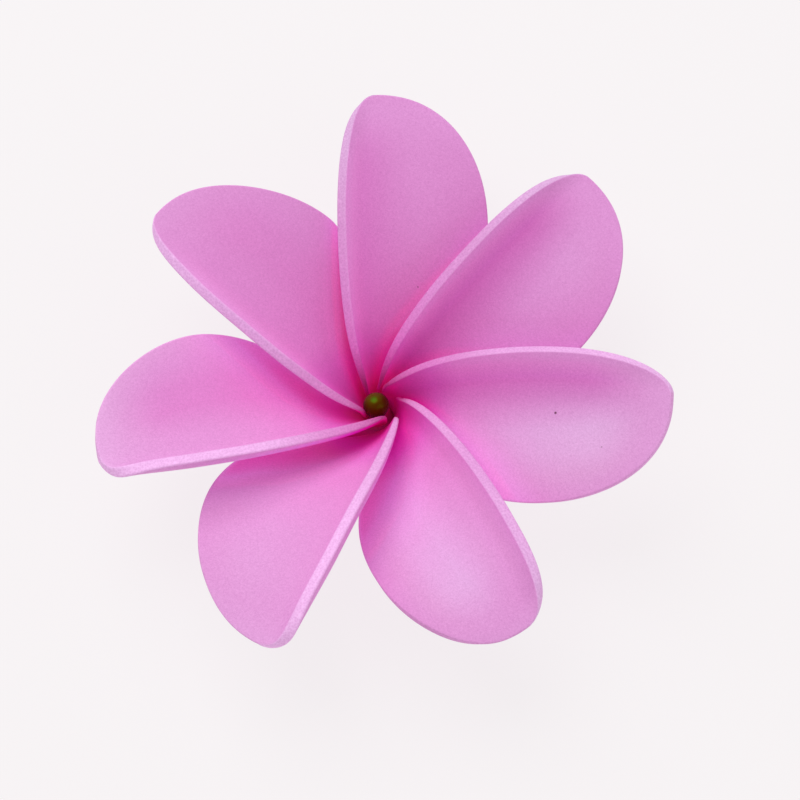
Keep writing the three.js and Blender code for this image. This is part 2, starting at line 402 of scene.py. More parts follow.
def side_width(n, f, share, raised):
    """Width of one side of the blank, `share` of the way along the petal."""
    side = "raised" if raised else "low"
    parts = ("width", "extra", "neck", "swell", "blunt")
    width, extra, neck, swell, blunt = (getattr(f, f"{side}_{part}") for part in parts)
    start = neck_share(f)
    reached = n.math("MAXIMUM", (share - start) / (f.widest - start), 0)
    rising = n.math("SINE", reached**swell * (math.pi / 2))
    base = neck + (1 - neck) * rising
    past = (share - f.widest) / (1 - f.widest)
    tip = n.math("SQRT", n.math("MAXIMUM", 1 - n.math("MAXIMUM", past, 0) ** blunt, 0))
    is_tip = n.math("GREATER_THAN", share, f.widest)
    return (width + extra) * n.blend(base, tip, is_tip)


def neck_share(f):
    """Where the neck starts, as a share of the petal: below 0 where it runs on to the bead."""
    return -(f.reach / (f.length * f.scale))


def sheet_point(n, f, share, across):
    """A point of the sheet's middle surface and the width of its side there.

    share runs from 0 at the neck to 1 at the tip, and across from -1 at the low edge through the
    midrib at 0 to 1 at the raised edge.
    """
    grown = f.length * f.scale
    passed = n.math("MAXIMUM", share, 0)
    walked = passed * grown
    settled = n.math("EXPONENT", -(walked / f.roll_length))
    pitch_change = f.tip - f.rise
    pitch = f.rise + pitch_change * share
    along = grown / pitch_change
    x = f.start + f.inset + along * (n.math("SINE", pitch) - n.math("SINE", f.rise))
    dip = f.dive * n.math("EXPONENT", -(walked / f.dive_length))
    turned_up = passed**LIFT_POWER * (1 / LIFT_POWER)
    tip_lift = n.math("SINE", f.lift) * grown * turned_up
    z = f.height - along * (n.math("COSINE", pitch) - n.math("COSINE", f.rise)) - dip + tip_lift
    beside = f.aside * n.math("EXPONENT", -(walked / f.offset_length))
    shifted = f.tip_shift * passed**SHIFT_POWER
    y = beside + f.bow * share * share - shifted

    raised = n.math("GREATER_THAN", across, 0)
    outward = n.math("ABSOLUTE", across)
    side = raised * 2 - 1
    width = n.blend(side_width(n, f, share, False), side_width(n, f, share, True), raised)
    eased = (1 - settled) * (1 - passed**f.tip_ease)
    bend = n.blend(f.turn, f.curl, raised) * eased
    power = n.blend(f.turn_power, f.curl_power, raised)
    roll = f.roll + (f.neck_roll - f.roll) * settled
    level_sum, upright_sum = 0, 0
    hook = f.hook * (1 - raised) * eased
    for place, weight in GAUSS_POINTS:
        slope = roll + bend * (outward * place) ** power + hook * (outward * place) ** HOOK_POWER
        level_sum = n.math("COSINE", slope) * weight + level_sum
        upright_sum = n.math("SINE", slope) * weight + upright_sum
    walk = side * width * outward
    return n.combine(x, y + walk * level_sum, z + walk * upright_sum), width


def petal_tree():
    """Geometry Nodes: one petal as a closed sheet of foam, from its named inputs."""
    tree = bpy.data.node_groups.new("tiare petal sheet", "GeometryNodeTree")
    tree.interface.new_socket("Geometry", in_out="OUTPUT", socket_type="NodeSocketGeometry")
    named = [prop for group in (PetalSheet, PetalForm) for prop in own_properties(group)]
    for prop in named:
        socket = tree.interface.new_socket(prop.name, in_out="INPUT", socket_type="NodeSocketFloat")
        socket.default_value = prop.default
    tree.interface.new_socket("Foam", in_out="INPUT", socket_type="NodeSocketMaterial")
    n = Nodes(tree)
    inputs = n.add("NodeGroupInput")
    f = SimpleNamespace(**{prop.identifier: n.wire(inputs, k) for k, prop in enumerate(named)})

    ring = 2 * (FACE_COLUMNS + CUT_COLUMNS)
    counts = {"Vertices X": ROWS + 2, "Vertices Y": ring + 1}
    petal = n.out("GeometryNodeMeshGrid", None, {"Size X": 1.0, "Size Y": 1.0, **counts}, "Mesh")
    grid_x, grid_y, _ = n.separate(n.out("GeometryNodeInputPosition"))

    # Rows: the first closes the neck, the rest run from the neck to the tip.
    row = (grid_x + 0.5) * (ROWS + 1)
    open_row = n.math("GREATER_THAN", row, 0.5)
    run = n.math("MAXIMUM", (row - 1) / ROWS, 0)
    half_run = n.math("MINIMUM", run * 2, 1)
    tip_turn = n.math("MAXIMUM", run * 2 - 1, 0) * (math.pi / 2)
    start = neck_share(f)
    blade = start + (f.widest - start) * half_run**ROW_CROWDING
    share = blade + (1 - f.widest) * n.math("SINE", tip_turn)

    # Columns: over the top face, down the raised cut, back along the underside, up the low cut.
    column = (grid_y + 0.5) * ring
    over = n.math("MINIMUM", column / FACE_COLUMNS, 1)
    back = n.clamped((column - FACE_COLUMNS - CUT_COLUMNS) / FACE_COLUMNS)
    even = over - back
    crowded = n.math("SINE", even * (2 * math.pi)) * (COLUMN_CROWDING / (2 * math.pi))
    down = n.clamped((column - FACE_COLUMNS) / CUT_COLUMNS)
    up = n.clamped((column - 2 * FACE_COLUMNS - CUT_COLUMNS) / CUT_COLUMNS)
    face = (1 - 2 * down + 2 * up) * open_row
    midrib_at = f.low_width / (f.low_width + f.raised_width)
    from_midrib = even - crowded - midrib_at
    is_raised = n.math("GREATER_THAN", from_midrib, 0)
    across = from_midrib / n.blend(midrib_at, 1 - midrib_at, is_raised) * open_row

    point, width = sheet_point(n, f, share, across)

    # The sheet's normal, from four near points. The tip's points lie together and share the
    # midrib's normal, so that the tip closes.
    inner = n.math("MINIMUM", share, 1 - 2 * NEAR)
    beside = across * n.math("LESS_THAN", share, 1 - NEAR * NEAR)
    ahead, _ = sheet_point(n, f, inner + NEAR, beside)
    behind, _ = sheet_point(n, f, inner - NEAR, beside)
    leftward, _ = sheet_point(n, f, inner, beside + NEAR)
    rightward, _ = sheet_point(n, f, inner, beside - NEAR)
    along_sheet = n.vector("SUBTRACT", ahead, behind)
    across_sheet = n.vector("SUBTRACT", leftward, rightward)
    normal = n.vector("NORMALIZE", n.vector("CROSS_PRODUCT", along_sheet, across_sheet))

    # Thickness: pinched at the neck, and rounded where the faces meet the cut edge.
    grown = f.length * f.scale
    pinch = n.math("EXPONENT", -(n.math("MAXIMUM", share, 0) * grown / f.pinch_length))
    thickness = n.blend(f.thickness, f.neck_thickness, pinch)
    gains = [
        side_width(n, f, share + NEAR, raised) - side_width(n, f, share - NEAR, raised)
        for raised in (False, True)
    ]
    outline_slope = n.blend(*gains, is_raised) / (grown * (2 * NEAR))
    slant = n.math("SQRT", 1 + outline_slope * outline_slope)
    to_edge = width * (1 - n.math("ABSOLUTE", across)) / slant
    inset = f.edge_round - n.math("MINIMUM", to_edge, f.edge_round)
    rounding = n.math("SQRT", f.edge_round * f.edge_round - inset * inset)
    off_middle = face * (thickness / 2 - f.edge_round + rounding)

    # Hand forming leaves the blade slightly uneven.
    swirl = n.noise(point, WAVER_SCALE, 1.5, 0.5, f.seed) - 0.5
    waver = swirl * f.waver * 2 * n.steps(share * grown, *WAVER_GROWS)
    moved = n.vector("ADD", point, n.scaled(normal, off_middle + waver))
    settings = {"rotation_type": "Z_AXIS"}
    turned = n.out("ShaderNodeVectorRotate", settings, {"Vector": moved, "Angle": f.azimuth})

    # The fields read the flat grid's places, so their values are stored before it is moved.
    is_cut = n.math("LESS_THAN", n.math("ABSOLUTE", face), 0.999)
    on_rounding = n.steps(to_edge, 0, f.edge_round, 1, 0)
    settings = {"data_type": "FLOAT", "domain": "POINT"}
    for name, field in (
        ("along", share),
        ("across", across),
        *((name, getattr(f, name)) for name in PAINT_SHARES),
        ("cut", n.math("MAXIMUM", is_cut, on_rounding)),
    ):
        petal = n.through("StoreNamedAttribute", petal, settings, Name=name, Value=field)
    petal = n.through("SetPosition", petal, Position=turned)
    petal = n.through("MergeByDistance", petal, Distance=MERGE_DISTANCE)
    petal = n.through("SetShadeSmooth", petal)
    petal = n.through("RealizeInstances", petal)
    petal = n.through("SetMaterial", petal, Material=n.wire(inputs, len(named)))
    n.add("NodeGroupOutput", None, {0: petal})
    return tree


# --- Finishes ---

GRAIN_SCALE = 5200.0  # fine pores of the foam's skin
SPECKLE_SCALE = 2500.0
CELL_SCALE = 2600.0  # cells opened by the cut
CLOUD_SCALE = 60.0
BEAD_CLOUD_SCALE = 500.0
GLUE_CLOUD_SCALE = 350.0
STREAK_SCALE = 3000.0
STREAK_STRETCH = (8, 8, 0.3)  # fine across the wire, long along it
PETAL_LIGHT_STEP = (0.04, 0.13, 0.06)  # change of red, green and blue for each step of a petal's painted light
PAINT_FADES = (0.72, 0.96)  # shares of the length over which the painted crease shade, ridge light and wall light fade out
THROAT_ENDS = (6 * MM, 14 * MM)  # distances from the axis over which the throat's painted fold shade gives way to the blade's
EDGE_CHANGES = (12 * MM, 22 * MM)  # the same for the cut edge's painted light
EDGE_CLOSES = (0.55, 0.95)  # shelter over which a raised cut edge loses its painted light and takes the blade's painted shade
BRIGHTEST = (0.95, 0.95, 0.95)
# Distances from the axis in millimetres, and the colour settings that hold the pinks there; towards the
# throat they deepen as painted shade.
BLADE = (
    (3, "foam_throat"),
    (6.5, "foam_neck"),
    (10, "foam_root"),
    (14.5, "foam_low"),
    (21, "foam_middle"),
    (30, "foam_high"),
    (45, "foam"),
    (52, "foam_tip"),
)
# The same for the cut edge, with its linear colours: the first list deepens towards the throat as
# painted shade, and the second keeps the edge paler as painted light, deepening only right at the bead.
SHADED_EDGE = (
    (3, (0.4, 0.004, 0.14)),
    (6.5, (0.62, 0.065, 0.37)),
    (10, (0.72, 0.155, 0.54)),
    (14.5, (0.735, 0.22, 0.6)),
    (21, (0.74, 0.275, 0.65)),
    (30, (0.74, 0.32, 0.67)),
    (45, (0.75, 0.41, 0.73)),
)
LIT_EDGE = (
    (2.5, (0.5, 0.03, 0.22)),
    (3.5, (0.66, 0.14, 0.46)),
    (6, (0.84, 0.36, 0.75)),
    (14.5, (0.86, 0.42, 0.8)),
    (24, (0.93, 0.48, 0.89)),
    (30, (0.95, 0.5, 0.91)),
)
# Half the factor of painted light and shade that the blade's colour takes, from the low edge at 0
# through the midrib at 0.5 to the raised edge at 1.
PLAIN = (0.5, 0.5, 0.5)
# Painted shade in the trough at the raised side's foot; a negative strength paints light there.
CREASE_SHADE = (
    (0.275, PLAIN),
    (0.375, (0.48, 0.44, 0.47)),
    (0.44, (0.46, 0.37, 0.44)),
    (0.5, (0.45, 0.32, 0.42)),
    (0.575, (0.46, 0.33, 0.44)),
    (0.675, (0.48, 0.37, 0.46)),
    (0.8, (0.5, 0.42, 0.48)),
    (0.925, (0.5, 0.48, 0.5)),
    (1, PLAIN),
)
# Painted light on the middle of the low side; a negative strength paints shade there.
RIDGE_LIGHT = (
    (0, PLAIN),
    (0.1, (0.51, 0.58, 0.52)),
    (0.2, (0.53, 0.68, 0.57)),
    (0.3, (0.53, 0.7, 0.58)),
    (0.375, (0.52, 0.62, 0.55)),
    (0.44, (0.5, 0.54, 0.51)),
    (0.5, PLAIN),
)
# Painted light on the raised side's wall.
WALL_LIGHT = (
    (0.5, PLAIN),
    (0.675, (0.515, 0.51, 0.51)),
    (0.8, (0.54, 0.55, 0.54)),
    (0.925, (0.56, 0.59, 0.57)),
    (1, (0.555, 0.58, 0.565)),
)
# Half the factor of painted shade in folds, from open to closed in: over the blade, and deep in the
# throat.
FOLD_SHADE = (
    (0.28, PLAIN),
    (0.5, (0.54, 0.58, 0.57)),
    (0.66, (0.67, 0.6, 0.62)),
    (0.82, (0.9, 0.19, 0.44)),
    (0.96, (0.92, 0, 0.34)),
)
THROAT_FOLD_SHADE = (
    (0.28, PLAIN),
    (0.5, (0.56, 0.52, 0.56)),
    (0.66, (0.66, 0.4, 0.62)),
    (0.82, (0.86, 0.05, 0.72)),
    (0.96, (0.9, 0, 0.6)),
)
FLECKS = (  # x, y and radius in millimetres, and how dark each speck is
    (30.9, -5.5, 0.3, 0.9),
    (38.7, -12, 0.2, 0.4),
    (7, 21, 0.22, 0.5),
    (5.4, 14.3, 0.2, 0.4),
)
BEAD_LIGHT_SIDE = (-0.35, 0.64, 0.69)  # ways out from the bead's middle
# Where the painted highlight's middle lies on the bead.
BEAD_GLINT = (-0.19, 0.21, 0.96)


def new_material(name, **constants):
    """A node material: its shader with constants on its own sockets, and the tree to build in."""
    material = bpy.data.materials.new(name)
    material.use_nodes = True
    n = Nodes(material.node_tree)
    shader = n.tree.nodes["Principled BSDF"]
    for socket, value in constants.items():
        n.feed(shader.inputs[socket.replace("_", " ")], value)
    return material, shader, n


def object_point(n):
    return n.out("ShaderNodeTexCoord", output="Object")


def dress(n, shader, shade, roughness, height=None, strength=0.5, depth=0.0):
    """Gives the shader its colour and roughness, and the height as bumps that deep."""
    n.feed(shader.inputs["Base Color"], shade)
    n.feed(shader.inputs["Roughness"], roughness)
    if height is not None:
        sockets = {"Strength": strength, "Distance": depth, "Height": height}
        n.feed(shader.inputs["Normal"], n.out("ShaderNodeBump", None, sockets))


def foam_surface(n, shader, point, shade, cut):
    """Closed-cell foam: matte and finely pored, with opened cells where it is cut."""
    grain = n.noise(point, GRAIN_SCALE, 3, 0.7)
    speckle = n.noise(point, SPECKLE_SCALE, 2, 0.6)
    cells = n.out("ShaderNodeTexVoronoi", None, {"Vector": point, "Scale": CELL_SCALE}, "Distance")
    mottle = n.blend((grain - 0.5) * 0.34 + (speckle - 0.5) * 0.24, cells * 0.22 - 0.09, cut)
    mottled = n.combine(1 + mottle, 1 + mottle * 1.8, 1 + mottle * 1.1)
    shade = n.mix_colour(1.0, shade, mottled, "MULTIPLY")
    pores = grain * 0.5 + speckle * 0.5
    height = n.blend(pores, cells + pores * 0.5, cut)
    dress(n, shader, shade, 0.66 + grain * 0.2, height, depth=0.08 * MM)


def radial_colour(n, from_axis, colours):
    """A colour that goes from the throat's to the tip's, from a list of (millimetres, colour)."""
    reach = colours[-1][0]
    return n.ramp(from_axis / (reach * MM), [(place / reach, tint) for place, tint in colours])


def varied(n, tint, half_factor, strength):
    """tint times a factor that is held as half its value; strength 0 leaves it as it was."""
    change = n.vector("SUBTRACT", n.scaled(half_factor, 2), (1, 1, 1))
    return n.vector("MULTIPLY", tint, n.vector("ADD", n.scaled(change, strength), (1, 1, 1)))


def petal_foam(colours):
    """The petals' foam: pink, with painted shade where folds close it in, deepest round the throat, and
    painted light and shade along each petal.
    """
    material, shader, n = new_material("petal_foam", Specular_IOR_Level=0.3)
    point = object_point(n)
    cut = n.attribute("cut")
    x, y, _ = n.separate(point)
    from_axis = n.math("SQRT", x * x + y * y)
    cloud = n.noise(point, CLOUD_SCALE, 2, 0.5)
    shelter = n.attribute("shelter") + (cloud - 0.5) * 0.06

    # Painted light and shade for each petal as a whole: a petal that looks more lit is painted paler,
    # one in more shade deeper.
    tone = n.attribute("tone")
    petal_light_tint = n.combine(*(1 + tone * part for part in PETAL_LIGHT_STEP))

    blade = radial_colour(n, from_axis, [(place, getattr(colours, name)) for place, name in BLADE])
    across = n.attribute("across") * 0.5 + 0.5
    fading = n.steps(n.attribute("along"), *PAINT_FADES, 1, 0)
    # Painted shade in the crease and painted light on the ridge and the raised wall, faded out near the
    # tip.
    for name, stops in (("crease", CREASE_SHADE), ("ridge", RIDGE_LIGHT), ("wall", WALL_LIGHT)):
        blade = varied(n, blade, n.ramp(across, stops), n.attribute(name) * fading)
    # Painted shade in folds: the more closed in a point is, the deeper its pink.
    outward = n.steps(from_axis, *THROAT_ENDS)
    fold = n.mix_colour(outward, n.ramp(shelter, THROAT_FOLD_SHADE), n.ramp(shelter, FOLD_SHADE))
    painted_blade = n.vector("MULTIPLY", varied(n, blade, fold, 1), petal_light_tint)
    painted_blade = n.vector("MINIMUM", painted_blade, BRIGHTEST)

    # The raised side's cut edge has its own pink with painted light and painted shade on it, and the low
    # side's takes the blade's.
    further = n.steps(from_axis, *EDGE_CHANGES)
    pale = n.blend(n.attribute("edge_pale"), n.attribute("edge_light"), further)
    edge_in_shade = radial_colour(n, from_axis, SHADED_EDGE)
    edge = n.mix_colour(pale, edge_in_shade, radial_colour(n, from_axis, LIT_EDGE))
    open_edge = n.steps(shelter, *EDGE_CLOSES, 1, 0.2)
    raised_cut = cut * open_edge * n.steps(across, 0.4, 0.6)
    shade = n.mix_colour(raised_cut, painted_blade, edge)
    level = n.combine(x, y, 0)
    for fleck_x, fleck_y, radius, strength in FLECKS:
        away = n.vector("DISTANCE", level, (fleck_x * MM, fleck_y * MM, 0), output=1)
        spot = n.steps(away, 0.3 * radius * MM, radius * MM, strength, 0)
        shade = n.mix_colour(spot, shade, colours.fleck)
    foam_surface(n, shader, point, shade, cut)
    return material


def disc_foam(colours):
    """The backing disc's foam, with a cut rim and painted shade over its top."""
    material, shader, n = new_material("disc_foam", Specular_IOR_Level=0.3)
    point = object_point(n)
    x, y, z = n.separate(point)
    from_axis = n.math("SQRT", x * x + y * y)
    rim = n.steps(from_axis, DISC_SIZE.x / 2 - 0.1 * MM, DISC_SIZE.x / 2, smooth=False)
    cloud = n.noise(point, CLOUD_SCALE, 3, 0.6)
    pressed = n.mix_colour(cloud, colours.foam, colours.foam_high)
    shade = n.mix_colour(rim, pressed, colours.foam_cut)
    # Painted shade over the disc's top, strongest inside the ring of petals.
    on_top = n.steps(z, DISC_CENTRE.z, DISC_SIZE.z)
    shaded_top = on_top * n.steps(from_axis, 7 * MM, DISC_SIZE.x / 2, 1, 0.6)
    shade = n.mix_colour(shaded_top, shade, colours.foam_deep)
    foam_surface(n, shader, point, shade, rim)
    return material


def bead_gloss(colours):
    """Glossy green lacquer, painted brown away from the light as painted shade and painted reflection of
    the pink petals, with a painted green glint.
    """
    material, shader, n = new_material(
        "bead_gloss", IOR=1.5, Specular_IOR_Level=0.28, Specular_Tint=(0.45, 1.0, 0.05)
    )
    point = object_point(n)
    way = n.scaled(n.vector("SUBTRACT", point, tuple(BEAD_CENTRE)), 2 / BEAD_SIZE.x)
    cloud = n.noise(point, BEAD_CLOUD_SCALE, 3, 0.5)
    toward_light = n.vector("DOT_PRODUCT", way, BEAD_LIGHT_SIDE, output=1) + (cloud - 0.5) * 0.3
    # Painted shade and painted reflection: brown away from the light side, green towards it.
    shade = n.mix_colour(n.steps(toward_light, 0.35, 1.1), colours.bead_low, colours.bead)
    from_glint = n.vector("DISTANCE", way, BEAD_GLINT, output=1)
    # Painted highlight: green round the glint.
    shade = n.mix_colour(n.steps(from_glint, 0.05, 0.4, 1, 0), shade, colours.bead_glint)
    dress(n, shader, shade, 0.19 + cloud * 0.10, cloud, strength=0.15, depth=0.03 * MM)
    return material


def hot_melt_glue(colours):
    """Glue between pink foam: cloudy and dimpled, its deep crimson partly the foam seen through it and
    partly painted shade of the throat.
    """
    material, shader, n = new_material("hot_melt_glue", Specular_IOR_Level=0.2)
    point = object_point(n)
    cloud = n.noise(point, GLUE_CLOUD_SCALE, 3, 0.6)
    shade = n.ramp(cloud, ((0.3, colours.glue), (0.7, colours.glue_cloud)))
    dress(n, shader, shade, 0.35 + cloud * 0.25, cloud, depth=0.1 * MM)
    return material


def wire_steel():
    """Drawn steel wire with fine streaks along it."""
    material, shader, n = new_material("wire_steel", Metallic=1.0)
    stretched = n.vector("MULTIPLY", object_point(n), STREAK_STRETCH)
    streaks = n.noise(stretched, STREAK_SCALE, 2, 0.5)
    shade = n.ramp(streaks, ((0.3, (0.38, 0.38, 0.4)), (0.7, (0.6, 0.6, 0.62))))
    dress(n, shader, shade, 0.25 + streaks * 0.25)
    return material


# --- Pieces ---

WIRE_BEND = Vector((0, 0, 8.8)) * MM  # where the wire leaves the core and leans over
BEAD_RINGS = 64
BEAD_SEGMENTS = 96
BEAD_UNEVENNESS = 0.02
BEAD_LUMPS = 3 * MM
WIRE_STEPS = 24
WIRE_SEGMENTS = 20
CORE_SEGMENTS = 72
CORE_UNEVENNESS = 0.14
CORE_LUMPS = 1.6 * MM
DISC_SEGMENTS = 128
CORNER_ROUND = 0.25 * MM
PROFILE_STEP = 0.35 * MM
CENTRE_PIECES = ("bead", "wire", "glue", "disc")


def new_object(name, data):
    thing = bpy.data.objects.new(name, data)
    bpy.context.scene.collection.objects.link(thing)
    return thing


def hand_over(name, mesh, node):
    """Links a finished piece, which rides on the frame in place of its node."""
    piece = new_object(name, mesh)
    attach(piece, BODY)
    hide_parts(node)
    return piece


def corner_points(before, corner, after):
    """A profile's corner cut back a little, then rounded with three points."""
    reach = min(CORNER_ROUND, (corner - before).length / 3, (after - corner).length / 3)
    first = corner + (before - corner).normalized() * reach
    last = corner + (after - corner).normalized() * reach
    middle = (first + 2 * corner + last) / 4
    return first, middle, last


def rounded_profile(outline):
    """(radius, height) points with every corner rounded and long runs cut into short steps."""
    points = [Vector(point) for point in outline]
    rounded = [points[0]]
    for before, corner, after in zip(points, points[1:], points[2:]):
        rounded.extend(corner_points(before, corner, after))
    rounded.append(points[-1])
    stepped = [rounded[0]]
    for start, end in zip(rounded, rounded[1:]):
        count = max(1, round((end - start).length / PROFILE_STEP))
        stepped.extend(start.lerp(end, k / count) for k in range(1, count + 1))
    return [tuple(point) for point in stepped]


def skin_rings(shape, rings, closed=False):
    """Quads between each ring of vertices and the next."""
    pairs = list(zip(rings, rings[1:]))
    if closed:
        pairs.append((rings[-1], rings[0]))
    for lower, upper in pairs:
        for k in range(len(lower)):
            after = (k + 1) % len(lower)
            shape.faces.new((lower[k], lower[after], upper[after], upper[k]))


def finished_mesh(name, shape):
    for face in shape.faces:
        face.smooth = True
    mesh = bpy.data.meshes.new(name)
    shape.to_mesh(mesh)
    shape.free()
    return mesh


def circle(radius, height, segments):
    """Points of a level circle round Z."""
    turns = [2 * math.pi * k / segments for k in range(segments)]
    return [Vector((radius * math.cos(turn), radius * math.sin(turn), height)) for turn in turns]


def turned_mesh(name, profile, segments, ring=False):
    """A closed solid turned about Z from (radius, height) points, listed from the bottom outwards.

    Both ends lie on the axis, or with ring the last point joins the first round an open bore.
    """
    shape = bmesh.new()
    rings = []
    for radius, height in profile if ring else profile[1:-1]:
        rings.append([shape.verts.new(point) for point in circle(radius, height, segments)])
    skin_rings(shape, rings, closed=ring)
    if not ring:
        bottom = shape.verts.new((0, 0, profile[0][1]))
        top = shape.verts.new((0, 0, profile[-1][1]))
        for k in range(segments):
            after = (k + 1) % segments
            shape.faces.new((bottom, rings[0][after], rings[0][k]))
            shape.faces.new((top, rings[-1][k], rings[-1][after]))
    return finished_mesh(name, shape)


def tube_mesh(name, path, radius, segments):
    """A closed round bar along a path."""
    shape = bmesh.new()
    rings = []
    for before, point, after in zip([path[0], *path], path, [*path[1:], path[-1]]):
        turned = (after - before).to_track_quat("Z", "Y")
        spokes = circle(radius, 0, segments)
        rings.append([shape.verts.new(point + turned @ spoke) for spoke in spokes])
    skin_rings(shape, rings)
    shape.faces.new(reversed(rings[0]))
    shape.faces.new(rings[-1])
    return finished_mesh(name, shape)


SHELTER_RAYS = 56
SHELTER_REACH = 30 * MM
SHELTER_START = 0.05 * MM  # rays start this far off the surface
SHELTER_GRAZE = 0.05  # rays flatter to the surface than this are left out
SHELTER_SMOOTHING = 24


def even_directions(count):
    """Directions spread evenly over the whole sphere, along a spiral."""
    golden_turn = math.pi * (3 - math.sqrt(5))
    directions = []
    for k in range(count):
        height = 1 - (2 * k + 1) / count
        level = math.sqrt(1 - height * height)
        turn = golden_turn * k
        directions.append(Vector((level * math.cos(turn), level * math.sin(turn), height)))
    return directions


def shelter_at(tree, place, normal, directions):
    """How closed in a point of the surface is: 0 in the open, 1 where every way out is blocked."""
    start = place + normal * SHELTER_START
    blocked, total = 0, 0
    for direction in directions:
        facing = direction.dot(normal)
        if facing < SHELTER_GRAZE:
            continue
        total += facing
        if tree.ray_cast(start, direction, SHELTER_REACH)[0] is not None:
            blocked += facing
    return blocked / total


def averaged(mesh, values, passes):
    """values evened out between neighbouring points."""
    ends = np.empty(len(mesh.edges) * 2, dtype=np.int32)
    mesh.edges.foreach_get("vertices", ends)
    first, second = ends[::2], ends[1::2]
    count = len(values)
    neighbours = np.bincount(ends, minlength=count)
    for _ in range(passes):
        total = np.bincount(first, values[second], count) + np.bincount(second, values[first], count)
        values = (values + total / neighbours) / 2
    return values


def mark_shelter(petals, others):
    """Stores how sheltered each point of the petals is, for the painted shade in the foam's colour."""
    places, polygons = [], []
    for piece in (*petals, *others):
        first = len(places)
        places.extend(vertex.co for vertex in piece.data.vertices)
        polygons.extend([first + index for index in face.vertices] for face in piece.data.polygons)
    tree = BVHTree.FromPolygons(places, polygons)
    directions = even_directions(SHELTER_RAYS)
    for piece in petals:
        mesh = piece.data
        values = [shelter_at(tree, vertex.co, vertex.normal, directions) for vertex in mesh.vertices]
        smooth = averaged(mesh, np.array(values), SHELTER_SMOOTHING)
        mesh.attributes.new("shelter", "FLOAT", "POINT").data.foreach_set("value", smooth)


class TIARE_OT_form_petals(bpy.types.Operator):
    """Forms every petal of the flower from its foam blank"""

    bl_idname = "tiare.form_petals"
    bl_label = "Form petals"

    def execute(self, context):
        settings = context.scene.tiare
        tree = petal_tree()
        foam = petal_foam(settings.colours)
        pieces = []
        for number, form in enumerate(settings.petals, start=1):
            blank = new_object("petal_blank", bpy.data.meshes.new("petal_blank"))
            modifier = blank.modifiers.new("Sheet", "NODES")
            modifier.node_group = tree
            groups = (settings.sheet, form)
            values = [getattr(g, prop.identifier) for g in groups for prop in own_properties(type(g))]
            sockets = [item for item in tree.interface.items_tree if item.in_out == "INPUT"]
            for socket, value in zip(sockets, [*values, foam]):
                modifier[socket.identifier] = value
            evaluated = blank.evaluated_get(context.evaluated_depsgraph_get())
            mesh = bpy.data.meshes.new_from_object(evaluated)
            blank.modifiers.remove(modifier)
            bpy.data.objects.remove(blank)
            name = f"petal_{number}"
            mesh.name = name
            pieces.append(hand_over(f"{name}_foam", mesh, name))
        mark_shelter(pieces, [bpy.data.objects[name] for name in CENTRE_PIECES])
        return {"FINISHED"}


class TIARE_OT_set_bead(bpy.types.Operator):
    """Sets the glossy bead, drilled for its wire, in the throat"""

    bl_idname = "tiare.set_bead"
    bl_label = "Set bead"

    def execute(self, context):
        sizes = context.scene.tiare.centre
        radius = BEAD_SIZE.x / 2
        mouth = math.asin(sizes.socket_radius / radius)
        socket_end = sizes.bead_socket - radius
        profile = [(0, socket_end), (sizes.socket_radius, socket_end)]
        for k in range(BEAD_RINGS + 1):
            turn = mouth + (math.pi - mouth) * k / BEAD_RINGS
            profile.append((radius * math.sin(turn), -radius * math.cos(turn)))
        mesh = turned_mesh("centre_bead", profile, BEAD_SEGMENTS)
        for vertex in mesh.vertices:
            uneven = noise.noise(vertex.co / BEAD_LUMPS + Vector((4, 0, 0)))
            vertex.co *= 1 + BEAD_UNEVENNESS * uneven
        lean = (BEAD_CENTRE - WIRE_BEND).to_track_quat("Z", "Y").to_matrix().to_4x4()
        mesh.transform(Matrix.Translation(BEAD_CENTRE) @ lean)
        mesh.materials.append(bead_gloss(context.scene.tiare.colours))
        hand_over("bead", mesh, "centre_bead")
        return {"FINISHED"}


class TIARE_OT_lead_wire(bpy.types.Operator):
    """Leads the bead's wire up from the disc, and over to the bead"""

    bl_idname = "tiare.lead_wire"
    bl_label = "Lead wire"

    def execute(self, context):
        sizes = context.scene.tiare.centre
        low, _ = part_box("bead_wire")
        lean = (BEAD_CENTRE - WIRE_BEND).normalized()
        end = BEAD_CENTRE - lean * (BEAD_SIZE.x / 2 - sizes.bead_socket + sizes.glued_gap)
        start = Vector((0, 0, low.z))
        path = [start]
        for k in range(1, WIRE_STEPS + 1):
            share = k / WIRE_STEPS
            path.append(WIRE_BEND.lerp(start, 1 - share).lerp(WIRE_BEND.lerp(end, share), share * share))
        mesh = tube_mesh("bead_wire", path, sizes.wire_radius, WIRE_SEGMENTS)
        mesh.materials.append(wire_steel())
        hand_over("wire", mesh, "bead_wire")
        return {"FINISHED"}


class TIARE_OT_glue_core(bpy.types.Operator):
    """Lays the plug of glue round the wire"""

    bl_idname = "tiare.glue_core"
    bl_label = "Glue core"

    def execute(self, context):
        settings = context.scene.tiare
        sizes = settings.centre
        low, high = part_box("glue_core")
        foot, bore = high.x, sizes.socket_radius
        waist, shoulder = sizes.waist_radius, sizes.core_shoulder
        outline = [
            (bore, low.z),
            (foot - shoulder / 2, low.z),
            (foot, low.z + shoulder),
            (waist, sizes.waist_height),
            (waist, high.z - shoulder),
            (waist - shoulder, high.z),
            (bore, high.z),
        ]
        mesh = turned_mesh("glue_core", rounded_profile(outline), CORE_SEGMENTS, ring=True)
        for vertex in mesh.vertices:
            level = Vector((vertex.co.x, vertex.co.y, 0))
            uneven = noise.noise(vertex.co / CORE_LUMPS + Vector((0, 9, 0)))
            vertex.co -= level * abs(uneven) * CORE_UNEVENNESS
        mesh.materials.append(hot_melt_glue(settings.colours))
        hand_over("glue", mesh, "glue_core")
        return {"FINISHED"}


